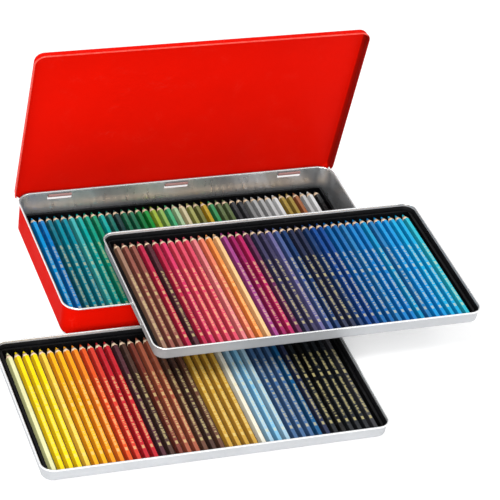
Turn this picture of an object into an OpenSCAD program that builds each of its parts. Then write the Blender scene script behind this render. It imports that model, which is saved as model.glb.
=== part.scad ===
// Hinged metal pencil tin with two lift-out trays, three layers of hexagonal
// coloured pencils and a lid on three curled tabs. Shown open, with both trays
// taken out. Millimetres. Origin at the middle of the base's underside, +X along
// the length, +Y towards the hinge, +Z up.

/* [Pencils] */
// Width of a pencil across its corners
pencil_w = 7.6; // [6.5:0.1:9]
// Length of a sharpened pencil
pencil_l = 175; // [140:1:190]
// Gap between neighbouring pencils
pencil_gap = 0.2; // [0.1:0.05:1]
// Pencils in each colour group; a layer has eight groups
per_group = 5; // [2:1:5]
// Length of the sharpened cone
cone_l = 11; // [8:0.5:22]
// Diameter of the coloured lead
lead_d = 3.6; // [2.5:0.1:4.5]
// Diameter of the lead's blunt point
tip_d = 0.9; // [0.5:0.1:2]
// Wood left closed behind the lead at the blunt end
butt_wall = 1.5; // [1:0.1:4]

/* [Sheet metal] */
// Thickness of the tinplate
sheet = 0.4; // [0.3:0.05:0.6]
// Height of the base, foot to rim
tin_h = 34; // [32:0.5:60]
// Radius of the base's upright corners
tin_r = 15; // [10:0.5:24]
// Radius where the base's walls turn under
foot_r = 2.5; // [1.5:0.1:5]
// Radius of the base's rolled rim
rim_r = 0.9; // [0.7:0.05:1.5]
// Angle of each rolled edge that stays open
curl_gap = 80; // [40:5:120]
// Height of a lift-out tray
tray_h = 14; // [10.5:0.1:16]
// Radius of a tray's inside corners at its floor
tray_r = 10; // [7:0.5:18]
// Radius where a tray's walls turn under
tray_foot_r = 2.5; // [1.5:0.1:4]
// Radius of a tray's rolled rim
tray_rim_r = 0.8; // [0.7:0.05:1.2]
// How far each tray wall leans out from floor to rim
tray_lean = 1; // [0:0.1:3]

/* [Moulded liners] */
// Thickness of the liner's sheet
liner_t = 0.8; // [0.5:0.1:1.5]
// Width of the rails round each row of pencils
rail_w = 2.4; // [1.5:0.1:5]
// How far the rails stand above the pencils
rail_over = 0.2; // [0:0.1:1.5]
// Corner radius inside the rails
pocket_r = 1.5; // [0.5:0.5:2]
// Height of the ribs between two pencils
rib_h = 2; // [1:0.1:2.6]
// Width of a rib at its crest
rib_top = 0.8; // [0.4:0.1:1]

/* [Fits] */
// Room between a rib's flank and the pencil beside it
rib_room = 0.35; // [0.2:0.05:0.6]
// Room between the end pencils and the side rails
side_room = 1.7; // [0.5:0.1:4]
// Room in front of the blunt ends
butt_room = 1; // [0.6:0.1:4]
// Room between the points and the back rail
tip_room = 0.6; // [0.3:0.1:4]
// Room between a liner and the turn of the metal round it
liner_room = 0.2; // [0.1:0.05:1]
// Room round a tray's rim inside the tin
tray_room = 2.2; // [0.6:0.1:5]
// Depth left above the upper tray's rim when both trays are stowed
stack_room = 1.4; // [0.3:0.1:3.5]
// Room between the lid's skirt and the base's rolled rim
lid_room = 0.35; // [0.3:0.05:1]
// Room at each side of a hinge tab in its slot
tab_room = 0.5; // [0.3:0.1:1.5]
// Gap under a tray that rests on another piece
seat_gap = 0.3; // [0.1:0.05:0.5]

/* [Lid and hinge] */
// Depth of the lid, top face to hemmed edge
lid_depth = 9.2; // [7:0.1:14]
// Outside radius of the lid's upright corners
lid_corner = 10; // [7:0.5:16]
// Outside radius of the lid's shoulder
lid_r = 4; // [3.6:0.1:5]
// Height of the closed lid's inner face above the rim
lid_lift = 2.2; // [2.2:0.1:6]
// Radius of the lid's rolled hem
hem_r = 0.7; // [0.6:0.05:1]
// Depth of the hinge line below the rim
hinge_drop = 4; // [3.6:0.1:8]
// Width of a hinge tab
tab_w = 24; // [15:1:40]
// Distance from the middle tab to each outer tab
tab_spread = 123; // [60:1:135]
// Angle that each tab is curled through
hook_deg = 150; // [120:5:155]
// Height left below a curled tab in its slot
slot_room = 2.8; // [0.4:0.1:5]
// Gap between the rear skirt and the hinge line
skirt_gap = 0.9; // [0.8:0.05:2]
// Length of the skirt's shallow part, measured from the lid's back
rear_cut = 5; // [4.5:0.5:12]
// Height of the notch that joins a tab to the skirt
notch_h = 1.2; // [0.6:0.1:1.4]
// Angle that the lid stands open
lid_open = 78; // [14:1:98]

/* [Trays set out] */
// Middle tray, sideways from the tin's middle
middle_x = 56; // [40:1:80]
// Middle tray, forwards of the tin's middle
middle_y = -94; // [-96:1:-60]
// Front tray, sideways from the tin's middle
front_x = -75; // [-120:1:0]
// Front tray, forwards of the tin's middle
front_y = -199; // [-260:1:-192]

/* [Hidden] */
$fn = 96;
over = 1; // how far a cut runs past what it cuts
groups = 8;
pencil_n = groups * per_group;
pitch = pencil_w + pencil_gap;
row_w = pencil_n * pitch - pencil_gap;
pencil_h = pencil_w * cos(30);
cone_k = (pencil_w - tip_d) / 2 / cone_l;

// trays, from the row of pencils outwards
rail_gap = tray_foot_r - sheet + liner_room;
tray_in_w = row_w + 2 * (side_room + rail_w + rail_gap);
tray_in_d = butt_room + pencil_l + tip_room + rail_w + rail_gap;
tray_w = tray_in_w + 2 * (tray_lean + 2 * tray_rim_r);
tray_d = tray_in_d + 2 * (tray_lean + 2 * tray_rim_r);
tray_floor = sheet + liner_t;
tray_rail = tray_floor + pencil_h + rail_over;

// tin, from the trays outwards
tin_in_w = tray_w + 2 * tray_room;
tin_in_d = tray_d + 2 * tray_room;
tin_d = tin_in_d + 2 * sheet;
wall_x = tin_r - sheet;
base_gap = foot_r - sheet + liner_room;
base_rail = tin_h - stack_room - tray_h - tray_rail;
base_floor = base_rail - rail_over - pencil_h;

// lid and hinge; the skirt stands clear of the base's rolled rim all round
skirt_off = 2 * rim_r + lid_room;
lid_w = tin_in_w + 2 * (skirt_off + sheet);
lid_d = tin_in_d + 2 * (skirt_off + sheet);
lid_top = tin_h + lid_lift + sheet;
lid_end = lid_top - lid_depth;
axis_y = tin_in_d / 2 + sheet / 2;
axis_z = tin_h - hinge_drop;
hook_in = skirt_off - sheet / 2;
skirt_z = axis_z + skirt_gap;

// where the trays' frames lie: middle of the floor's underside
middle_at = [middle_x, middle_y, tin_h + seat_gap];
front_at = [front_x, front_y, 0];
// y of the blunt ends in a tray's frame and in the tin's
tray_butt = -tray_in_d / 2 + butt_room;
base_butt = tin_in_d / 2 - base_gap - rail_w - tip_room - pencil_l;

// A rolled edge: a tube of sheet whose gap opens beside the wall it grows from.
module rolled(r) {
  difference() {
    circle(r);
    circle(r - sheet);
    polygon([[0, 0], [-2 * r, 0], [-2 * r, -2 * r], [-2 * r * sin(curl_gap - 90), -2 * r], [-r * 2 * cos(curl_gap), -r * 2 * sin(curl_gap)]]);
  }
}

// A quarter turn of sheet, from straight down round to the right.
module quarter_turn(r) {
  intersection() {
    difference() {
      circle(r);
      circle(r - sheet);
    }
    translate([0, -r]) square([r, r]);
  }
}

// Sweeps a profile round a rounded rectangle. The profile's x runs outwards from
// the corners' centres, which lie r inside the w by d rectangle.
module swept(w, d, r) {
  cx = w / 2 - r;
  cy = d / 2 - r;
  for (k = [0:3])
    translate([(k == 0 || k == 3) ? cx : -cx, k < 2 ? cy : -cy, 0])
      rotate([0, 0, 90 * k]) rotate_extrude(angle = 90) children();
  for (s = [0, 180]) {
    rotate([0, 0, s]) translate([cx, 0, 0]) rotate([90, 0, 0])
      linear_extrude(2 * cy, center = true) children();
    rotate([0, 0, s + 90]) translate([cy, 0, 0]) rotate([90, 0, 0])
      linear_extrude(2 * cx, center = true) children();
  }
}

module plate(x, y, t) translate([-x / 2, -y / 2, 0]) cube([x, y, t]);

// A flat slab with rounded upright corners, from x0, y0 to x1, y1.
module slab(x0, y0, x1, y1, r, h)
  linear_extrude(h) {
    translate([x0 + r, y0]) square([x1 - x0 - 2 * r, y1 - y0]);
    translate([x0, y0 + r]) square([x1 - x0, y1 - y0 - 2 * r]);
    for (x = [x0 + r, x1 - r], y = [y0 + r, y1 - r]) translate([x, y]) circle(r);
  }

// The low ribs that part the pencils, standing on z = 0.
module ribs(length) {
  foot = pencil_w / 2 + pencil_gap - 2 * rib_room / cos(30);
  crest = min(rib_top, foot);
  rotate([90, 0, 0]) linear_extrude(length, center = true)
    for (i = [1:pencil_n - 1]) translate([(i - pencil_n / 2) * pitch, 0])
      polygon([[-foot / 2, 0], [foot / 2, 0], [crest / 2, rib_h], [-crest / 2, rib_h]]);
}

// ---- pencils -------------------------------------------------------------

// The sharpener's cone, long enough to hold the whole pencil.
module sharpened() cylinder(h = pencil_l, r1 = tip_d / 2 + pencil_l * cone_k, r2 = tip_d / 2);

module casing()
  difference() {
    intersection() {
      cylinder(h = pencil_l, d = pencil_w, $fn = 6);
      sharpened();
    }
    translate([0, 0, butt_wall]) cylinder(h = pencil_l, d = lead_d);
  }

module lead()
  intersection() {
    translate([0, 0, butt_wall]) cylinder(h = pencil_l - butt_wall, d = lead_d);
    sharpened();
  }

// Puts copies of a pencil part side by side, blunt ends at y, flats on z.
module in_row(first, count, y, z)
  for (i = [first:first + count - 1])
    translate([(i - (pencil_n - 1) / 2) * pitch, y, z + pencil_h / 2])
      rotate([-90, 0, 0]) children();

module group(k, y, z) in_row((k - 1) * per_group, per_group, y, z) casing();
module base_group(k) group(k, base_butt, base_floor);
module middle_group(k) translate(middle_at) group(k, tray_butt, tray_floor);
module front_group(k) translate(front_at) group(k, tray_butt, tray_floor);

// ---- tin base ------------------------------------------------------------

module base_profile() {
  translate([wall_x, foot_r]) square([sheet, tin_h - rim_r - foot_r]);
  translate([tin_r - foot_r, foot_r]) quarter_turn(foot_r);
  square([tin_r - foot_r, sheet]);
  translate([wall_x + rim_r, tin_h - rim_r]) rolled(rim_r);
}

module base_shell() color([0.85, 0.05, 0.02])
  difference() {
    union() {
      swept(tin_in_w + 2 * sheet, tin_d, tin_r) base_profile();
      plate(tin_in_w + 2 * sheet - 2 * tin_r, tin_d - 2 * tin_r, sheet);
    }
    for (s = [-1:1])
      translate([s * tab_spread - tab_w / 2 - tab_room, axis_y - sheet, axis_z - hook_in - sheet - slot_room])
        cube([tab_w + 2 * tab_room, 2 * sheet, hook_in + sheet + slot_room]);
  }

module base_liner() color([0.03, 0.03, 0.03]) {
  hw = tin_in_w / 2 - base_gap;
  hd = tin_in_d / 2 - base_gap;
  r = wall_x - base_gap;
  px = row_w / 2 + side_room;
  front = base_butt - butt_room;
  back = base_butt + pencil_l + tip_room;
  difference() {
    translate([0, 0, sheet]) slab(-hw, -hd, hw, hd, r, base_floor - sheet);
    translate([0, 0, sheet - over])
      slab(-hw + liner_t, -hd + liner_t, hw - liner_t, hd - liner_t, r - liner_t, base_floor - liner_t - sheet + over);
  }
  translate([0, (front + back) / 2, base_floor]) ribs(back - front);
  difference() {
    translate([0, 0, base_floor - liner_t / 2])
      slab(-px - rail_w, front - rail_w, px + rail_w, back + rail_w, pocket_r + rail_w, base_rail - base_floor + liner_t / 2);
    translate([0, 0, base_floor - liner_t]) slab(-px, front, px, back, pocket_r, base_rail);
  }
}

// ---- lid -----------------------------------------------------------------

// Turns the closed lid about the hinge line to where it stands open.
module opened()
  translate([0, axis_y, axis_z]) rotate([-lid_open, 0, 0]) translate([0, -axis_y, -axis_z]) children();

module lid_profile() {
  translate([lid_corner - sheet, lid_end + hem_r]) square([sheet, lid_depth - lid_r - hem_r]);
  translate([lid_corner - lid_r, lid_top - lid_r]) mirror([0, 1]) quarter_turn(lid_r);
  translate([0, lid_top - sheet]) square([lid_corner - lid_r, sheet]);
  translate([lid_corner - sheet + hem_r, lid_end + hem_r]) mirror([0, 1]) rolled(hem_r);
}

module lid_shell() color([0.88, 0.06, 0.02]) opened()
  difference() {
    union() {
      swept(lid_w, lid_d, lid_corner) lid_profile();
      translate([0, 0, lid_top - sheet]) plate(lid_w - 2 * lid_corner, lid_d - 2 * lid_corner, sheet);
    }
    translate([-lid_w, lid_d / 2 - rear_cut, lid_end - over])
      cube([2 * lid_w, 2 * rear_cut, skirt_z - lid_end + over]);
    for (s = [-1:1])
      translate([s * tab_spread - tab_w / 2, axis_y + hook_in - sheet, skirt_z - over])
        cube([tab_w, 3 * sheet, notch_h + over]);
  }

// A tab runs down from its notch in the skirt and curls in through the slot.
module tab(x) color([0.88, 0.06, 0.02]) opened() translate([x, axis_y, axis_z]) {
  translate([-tab_w / 2, hook_in, 0]) cube([tab_w, sheet, skirt_gap + notch_h]);
  rotate([90, 0, 90]) mirror([0, 1, 0]) rotate_extrude(angle = hook_deg)
    translate([hook_in, -tab_w / 2]) square([sheet, tab_w]);
}
module lid_tab_left() tab(-tab_spread);
module lid_tab_centre() tab(0);
module lid_tab_right() tab(tab_spread);

// ---- lift-out trays ------------------------------------------------------

module tray_profile() {
  top = tray_h - tray_rim_r;
  polygon([[tray_r, tray_foot_r], [tray_r + sheet, tray_foot_r], [tray_r + sheet + tray_lean, top], [tray_r + tray_lean, top]]);
  translate([tray_r + sheet - tray_foot_r, tray_foot_r]) quarter_turn(tray_foot_r);
  square([tray_r + sheet - tray_foot_r, sheet]);
  translate([tray_r + tray_lean + tray_rim_r, top]) rolled(tray_rim_r);
}

module tray_shell() {
  swept(tray_in_w, tray_in_d, tray_r) tray_profile();
  plate(tray_in_w - 2 * tray_r, tray_in_d - 2 * tray_r, sheet);
}

module tray_liner() {
  hw = tray_in_w / 2 - rail_gap;
  hd = tray_in_d / 2 - rail_gap;
  px = row_w / 2 + side_room;
  back = tray_butt + pencil_l + tip_room;
  translate([0, 0, sheet]) slab(-hw, -hd, hw, hd, tray_r - rail_gap, liner_t);
  translate([0, (back - hd) / 2, tray_floor]) ribs(back + hd);
  difference() {
    translate([0, 0, tray_floor - liner_t / 2])
      slab(-hw, -hd, hw, hd, tray_r - rail_gap, tray_rail - tray_floor + liner_t / 2);
    translate([0, 0, tray_floor - liner_t]) slab(-px, -2 * hd, px, back, pocket_r, tray_rail);
  }
}

module middle_tray_shell() color([0.75, 0.76, 0.77]) translate(middle_at) tray_shell();
module middle_tray_liner() color([0.03, 0.03, 0.03]) translate(middle_at) tray_liner();
module front_tray_shell() color([0.75, 0.76, 0.77]) translate(front_at) tray_shell();
module front_tray_liner() color([0.03, 0.03, 0.03]) translate(front_at) tray_liner();

// ---- colour groups -------------------------------------------------------

module base_pencils_1() color([0.02, 0.4, 0.55]) base_group(1);
module base_pencils_2() color([0.05, 0.5, 0.45]) base_group(2);
module base_pencils_3() color([0.05, 0.3, 0.15]) base_group(3);
module base_pencils_4() color([0.45, 0.65, 0.4]) base_group(4);
module base_pencils_5() color([0.4, 0.45, 0.12]) base_group(5);
module base_pencils_6() color([0.12, 0.12, 0.1]) base_group(6);
module base_pencils_7() color([0.6, 0.6, 0.6]) base_group(7);
module base_pencils_8() color([0.6, 0.5, 0.35]) base_group(8);
module base_leads() color([0.2, 0.45, 0.35]) in_row(0, pencil_n, base_butt, base_floor) lead();

module middle_pencils_1() color([0.4, 0.15, 0.1]) middle_group(1);
module middle_pencils_2() color([0.75, 0.05, 0.1]) middle_group(2);
module middle_pencils_3() color([0.9, 0.4, 0.3]) middle_group(3);
module middle_pencils_4() color([0.45, 0.05, 0.3]) middle_group(4);
module middle_pencils_5() color([0.25, 0.2, 0.4]) middle_group(5);
module middle_pencils_6() color([0.05, 0.1, 0.25]) middle_group(6);
module middle_pencils_7() color([0.03, 0.15, 0.4]) middle_group(7);
module middle_pencils_8() color([0.02, 0.4, 0.65]) middle_group(8);
module middle_leads() color([0.5, 0.1, 0.3]) translate(middle_at) in_row(0, pencil_n, tray_butt, tray_floor) lead();

module front_pencils_1() color([0.95, 0.85, 0.2]) front_group(1);
module front_pencils_2() color([0.9, 0.4, 0.05]) front_group(2);
module front_pencils_3() color([0.4, 0.08, 0.05]) front_group(3);
module front_pencils_4() color([0.5, 0.25, 0.1]) front_group(4);
module front_pencils_5() color([0.3, 0.15, 0.1]) front_group(5);
module front_pencils_6() color([0.75, 0.55, 0.3]) front_group(6);
module front_pencils_7() color([0.35, 0.55, 0.75]) front_group(7);
module front_pencils_8() color([0.05, 0.08, 0.12]) front_group(8);
module front_leads() color([0.7, 0.3, 0.1]) translate(front_at) in_row(0, pencil_n, tray_butt, tray_floor) lead();

// ---- assembly ------------------------------------------------------------

base_shell();
base_liner();
lid_shell();
lid_tab_left();
lid_tab_centre();
lid_tab_right();
middle_tray_shell();
middle_tray_liner();
front_tray_shell();
front_tray_liner();
base_pencils_1();
base_pencils_2();
base_pencils_3();
base_pencils_4();
base_pencils_5();
base_pencils_6();
base_pencils_7();
base_pencils_8();
base_leads();
middle_pencils_1();
middle_pencils_2();
middle_pencils_3();
middle_pencils_4();
middle_pencils_5();
middle_pencils_6();
middle_pencils_7();
middle_pencils_8();
middle_leads();
front_pencils_1();
front_pencils_2();
front_pencils_3();
front_pencils_4();
front_pencils_5();
front_pencils_6();
front_pencils_7();
front_pencils_8();
front_leads();
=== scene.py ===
"""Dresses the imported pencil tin: its finishes, its 120 sharpened pencils, a plain studio and the camera.

Metres throughout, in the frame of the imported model: +X along the tin, +Y towards the hinge, +Z up.
"""

import logging
import math
from dataclasses import dataclass, field
from enum import Enum
from typing import Any, Sequence, Union

import bpy
import numpy as np
from mathutils import Matrix, Vector


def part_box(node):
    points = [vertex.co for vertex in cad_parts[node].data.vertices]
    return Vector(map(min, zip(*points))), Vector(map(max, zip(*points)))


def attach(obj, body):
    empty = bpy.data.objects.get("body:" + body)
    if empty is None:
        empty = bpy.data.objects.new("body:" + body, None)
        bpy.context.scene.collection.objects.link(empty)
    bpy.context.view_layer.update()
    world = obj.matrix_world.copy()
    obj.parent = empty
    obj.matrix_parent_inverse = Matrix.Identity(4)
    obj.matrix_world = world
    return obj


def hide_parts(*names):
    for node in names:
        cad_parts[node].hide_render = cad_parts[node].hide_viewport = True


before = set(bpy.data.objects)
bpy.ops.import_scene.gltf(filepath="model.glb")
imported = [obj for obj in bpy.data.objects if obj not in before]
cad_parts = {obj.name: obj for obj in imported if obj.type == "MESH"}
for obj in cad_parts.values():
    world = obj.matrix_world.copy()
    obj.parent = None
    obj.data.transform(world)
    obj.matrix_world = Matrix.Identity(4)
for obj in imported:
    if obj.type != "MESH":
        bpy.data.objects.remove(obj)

LOG = logging.getLogger("pencil_tin")
MM = 0.001
BLACK = (0.0, 0.0, 0.0, 1.0)
PAINT = "paint"
ROUND_AND_ALONG = "round_and_along"
Point = tuple[float, float, float]
Light = tuple[float, float, float, float]
Span = tuple[float, float]
Socket = bpy.types.NodeSocket
Value = Union[Socket, float, Sequence[float], str]


def linear(code: str, share: float = 1.0) -> Light:
    """Turns a written colour into the renderer's light values.

    Each channel c is c / 12.92 near black and ((c + 0.055) / 1.055) ** 2.4 above it, times the share.

    Args:
        code: Six hexadecimal digits, red, green and blue as seen on a screen.
        share: How much of the light is left.

    Returns:
        Red, green, blue and an alpha of one.
    """
    seen = [int(code[i : i + 2], 16) / 255 for i in (0, 2, 4)]
    red, green, blue = (c / 12.92 if c < 0.04045 else ((c + 0.055) / 1.055) ** 2.4 for c in seen)
    return red * share, green * share, blue * share, 1.0


# ---- node boards ------------------------------------------------------------


@dataclass(frozen=True)
class Board:
    """A node tree, with short ways to add and join its nodes."""

    tree: bpy.types.NodeTree

    def feed(self, socket: Socket, value: Value) -> None:
        """Joins an output to the socket, or writes a plain value or a written colour on it.

        Args:
            socket: The input.
            value: What goes into it.
        """
        if isinstance(value, bpy.types.NodeSocket):
            self.tree.links.new(value, socket)
        else:
            socket.default_value = linear(value) if isinstance(value, str) else value

    def add(self, kind: str, feeds: dict[Any, Value] | None = None, **settings: Any) -> bpy.types.Node:
        """Adds a node.

        Args:
            kind: The node's type name.
            feeds: What goes into its inputs, by name or number.
            settings: The node's own options.

        Returns:
            The new node.
        """
        node = self.tree.nodes.new(kind)
        for name, setting in settings.items():
            setattr(node, name, setting)
        for name, value in (feeds or {}).items():
            self.feed(node.inputs[name], value)
        return node

    def math(self, operation: str, *values: Value, clamp: bool = False) -> Socket:
        """Works one sum on up to three values."""
        feeds = dict(enumerate(values))
        return self.add("ShaderNodeMath", feeds, operation=operation, use_clamp=clamp).outputs[0]

    def times(self, first: Value, second: Value) -> Socket:
        """Multiplies two values; of two masks, what is in both."""
        return self.math("MULTIPLY", first, second)

    def plus(self, start: Value, value: Value, factor: Value) -> Socket:
        """Adds a value times a factor to a start."""
        return self.math("MULTIPLY_ADD", value, factor, start)

    def past(self, value: Value, mark: Value) -> Socket:
        """How far a value is past a mark, and nought where it isn't."""
        return self.math("MAXIMUM", self.math("SUBTRACT", value, mark), 0.0)

    def root(self, first: Value, second: Value) -> Socket:
        """The root of the sum of two squares."""
        return self.math("SQRT", self.plus(self.times(second, second), first, first))

    def within(self, value: Value, low: Value, high: Value) -> Socket:
        """One where the value lies between low and high, and nought elsewhere."""
        return self.times(self.math("GREATER_THAN", value, low), self.math("LESS_THAN", value, high))

    def vector(self, operation: str, first: Value, second: Value) -> Socket:
        """Works one sum on two vectors, axis by axis."""
        return self.add("ShaderNodeVectorMath", {0: first, 1: second}, operation=operation).outputs[0]

    def split(self, vector: Value) -> Sequence[Socket]:
        """Takes a vector apart into x, y and z."""
        return self.add("ShaderNodeSeparateXYZ", {0: vector}).outputs[:3]

    def noise(self, vector: Value, scale: Value, detail: float = 2.0, rough: float = 0.5) -> Socket:
        """Smooth noise about one half, with scale bumps to the metre."""
        feeds = {"Vector": vector, "Scale": scale, "Detail": detail, "Roughness": rough}
        return self.add("ShaderNodeTexNoise", feeds).outputs["Fac"]

    def span(self, value: Value, low: Value, high: Value, start: Value = 0.0, end: Value = 1.0) -> Socket:
        """Carries low..high over to start..end in a straight line, held at both ends."""
        feeds = {"Value": value, "From Min": low, "From Max": high, "To Min": start, "To Max": end}
        return self.add("ShaderNodeMapRange", feeds).outputs["Result"]

    def weigh(self, share: Value, first: Value, second: Value) -> Socket:
        """Mixes two values."""
        return self.add("ShaderNodeMix", {0: share, 2: first, 3: second}).outputs[0]

    def blend(self, share: Value, first: Value, second: Value, how: str = "MIX") -> Socket:
        """Mixes two colours."""
        node = self.add("ShaderNodeMix", {0: share, 6: first, 7: second}, data_type="RGBA", blend_type=how)
        return node.outputs[2]

    def bump(self, height: Value, strength: float, depth: float) -> Socket:
        """Turns a height into a tilted normal; depth is the relief in metres."""
        feeds = {"Height": height, "Strength": strength, "Distance": depth}
        return self.add("ShaderNodeBump", feeds).outputs["Normal"]

    def paint(self) -> Socket:
        """The colour that the mesh carries."""
        return self.add("ShaderNodeAttribute", attribute_name=PAINT).outputs["Color"]

    def effect(self, effect: "Effect", **feeds: Value) -> Any:
        """Places a shared effect.

        Args:
            effect: Which one.
            feeds: What goes into its inputs, by name.

        Returns:
            Its outputs.
        """
        node = self.add("ShaderNodeGroup", node_tree=effect.group())
        for title, value in feeds.items():
            self.feed(node.inputs[title], value)
        return node.outputs

    def mottle(self, place: Value, scale: float, low: float = 0.0, high: float = 1.0) -> Socket:
        """Slow unevenness from low to high."""
        return self.effect(Effect.MOTTLE, Place=place, Scale=scale, Low=low, High=high)["Value"]

    def grain(self, place: Value, stretch: Point, low: float = 0.0, high: float = 1.0) -> Any:
        """Streaks: their Value from low to high, and their Height."""
        return self.effect(Effect.DRAWN_GRAIN, Place=place, Stretch=stretch, Low=low, High=high)

    def scratches(self, place: Value, scale: float, cover: float) -> Socket:
        """Hair scratches, fewer as the cover rises."""
        return self.effect(Effect.HAIR_SCRATCHES, Place=place, Scale=scale, Cover=cover)["Mask"]

    def dust(self, place: Value, amount: float) -> Socket:
        """Dust on what faces up."""
        return self.effect(Effect.SETTLED_DUST, Place=place, Amount=amount)["Mask"]


class Effect(Enum):
    """The surface effects that several finishes share, each one a node group built once."""

    MOTTLE = "mottle"
    DRAWN_GRAIN = "drawn grain"
    HAIR_SCRATCHES = "hair scratches"
    SETTLED_DUST = "settled dust"

    def group(self) -> bpy.types.NodeTree:
        """Finds this effect's node group, or builds it the first time."""
        found = bpy.data.node_groups.get(self.value)
        return found if found else _EFFECT_MAKERS[self](self.value)


def _new_group(name: str, inputs: dict[str, float | None], outputs: Sequence[str]) -> tuple[Board, Any, Any]:
    """Starts a node group.

    Args:
        name: The group's name.
        inputs: Its inputs; a number is a value's default and None makes a vector.
        outputs: Its outputs, each a value.

    Returns:
        The board, the group's input sockets and its output sockets.
    """
    tree = bpy.data.node_groups.new(name, "ShaderNodeTree")
    for title, default in inputs.items():
        kind = "NodeSocketVector" if default is None else "NodeSocketFloat"
        socket = tree.interface.new_socket(title, in_out="INPUT", socket_type=kind)
        if default is not None:
            socket.default_value = default
    for title in outputs:
        tree.interface.new_socket(title, in_out="OUTPUT", socket_type="NodeSocketFloat")
    board = Board(tree)
    return board, board.add("NodeGroupInput").outputs, board.add("NodeGroupOutput").inputs


def _make_mottle(name: str) -> bpy.types.NodeTree:
    """Slow unevenness: a broad and a fine noise, three parts to one, carried over to Low..High.

    Args:
        name: The group's name.

    Returns:
        The group.
    """
    finer, fine_share, least, most = 9.0, 0.25, 0.32, 0.68
    board, given, out = _new_group(name, {"Place": None, "Scale": 60.0, "Low": 0.0, "High": 1.0}, ["Value"])
    broad = board.noise(given["Place"], given["Scale"], detail=3.0)
    fine = board.noise(given["Place"], board.times(given["Scale"], finer))
    both = board.plus(board.times(broad, 1.0 - fine_share), fine, fine_share)
    board.feed(out["Value"], board.span(both, least, most, given["Low"], given["High"]))
    return board.tree


def _make_drawn_grain(name: str) -> bpy.types.NodeTree:
    """Rolling or sawing streaks: noise squeezed by Stretch, so that it runs long along the axis with the least.

    Args:
        name: The group's name.

    Returns:
        The group.
    """
    least, most = 0.3, 0.7
    inputs = {"Place": None, "Stretch": None, "Low": 0.0, "High": 1.0}
    board, given, out = _new_group(name, inputs, ["Value", "Height"])
    place = board.vector("MULTIPLY", given["Place"], given["Stretch"])
    streak = board.noise(place, scale=1.0, detail=4.0, rough=0.65)
    board.feed(out["Value"], board.span(streak, least, most, given["Low"], given["High"]))
    board.feed(out["Height"], streak)
    return board.tree


def _make_hair_scratches(name: str) -> bpy.types.NodeTree:
    """Hair lines where a stretched cell pattern's edges fall, broken up by a noise above Cover.

    Args:
        name: The group's name.

    Returns:
        The group.
    """
    line_width, finer = 0.012, 2.0
    board, given, out = _new_group(name, {"Place": None, "Scale": 30.0, "Cover": 0.55}, ["Mask"])
    lines: list[Socket] = []
    for turn, stretch in ((0.5, (1.0, 7.0, 5.0)), (-0.9, (6.0, 1.0, 5.0))):
        turned = board.add("ShaderNodeVectorRotate", {"Vector": given["Place"], "Angle": turn}).outputs[0]
        feeds = {"Vector": board.vector("MULTIPLY", turned, stretch), "Scale": given["Scale"]}
        cells = board.add("ShaderNodeTexVoronoi", feeds, feature="DISTANCE_TO_EDGE").outputs["Distance"]
        lines.append(board.span(cells, 0.0, line_width, 1.0, 0.0))
    patch = board.noise(given["Place"], board.times(given["Scale"], finer), detail=1.0)
    kept = board.math("GREATER_THAN", patch, given["Cover"])
    board.feed(out["Mask"], board.times(board.math("MAXIMUM", *lines), kept))
    return board.tree


def _make_settled_dust(name: str) -> bpy.types.NodeTree:
    """Specks where fine noise is high, in clouds of a broad one, on what faces up only.

    Args:
        name: The group's name.

    Returns:
        The group.
    """
    speck_scale, cloud_scale = 1400.0, 45.0
    board, given, out = _new_group(name, {"Place": None, "Amount": 0.2}, ["Mask"])
    speck = board.span(board.noise(given["Place"], speck_scale, detail=3.0), 0.58, 0.7)
    cloud = board.span(board.noise(given["Place"], cloud_scale), 0.4, 0.65)
    up = board.span(board.split(board.add("ShaderNodeNewGeometry").outputs["Normal"])[2], 0.5, 0.95)
    board.feed(out["Mask"], board.times(board.times(speck, cloud), board.times(up, given["Amount"])))
    return board.tree


_EFFECT_MAKERS = {
    Effect.MOTTLE: _make_mottle,
    Effect.DRAWN_GRAIN: _make_drawn_grain,
    Effect.HAIR_SCRATCHES: _make_hair_scratches,
    Effect.SETTLED_DUST: _make_settled_dust,
}


# ---- finishes ---------------------------------------------------------------


@dataclass(frozen=True)
class Finish:
    """One material: a Principled shader, and what each kind of finish feeds it."""

    name: str

    def make(self) -> bpy.types.Material:
        """Builds the material.

        Returns:
            The new material, dressed.
        """
        material = bpy.data.materials.new(self.name)
        material.use_nodes = True
        board = Board(material.node_tree)
        shader = next(n for n in material.node_tree.nodes if n.type == "BSDF_PRINCIPLED")
        place = board.add("ShaderNodeTexCoord").outputs["Object"]
        for title, value in self.dress(board, place).items():
            board.feed(shader.inputs[title], value)
        return material

    def dress(self, board: Board, place: Socket) -> dict[str, Value]:
        """Works out what goes into the shader; each kind of finish has its own.

        Args:
            board: The material's board.
            place: Object coordinates in metres.

        Returns:
            An output, or a value that is the same all over, for each input of the shader that it sets.
        """
        raise NotImplementedError


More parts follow.
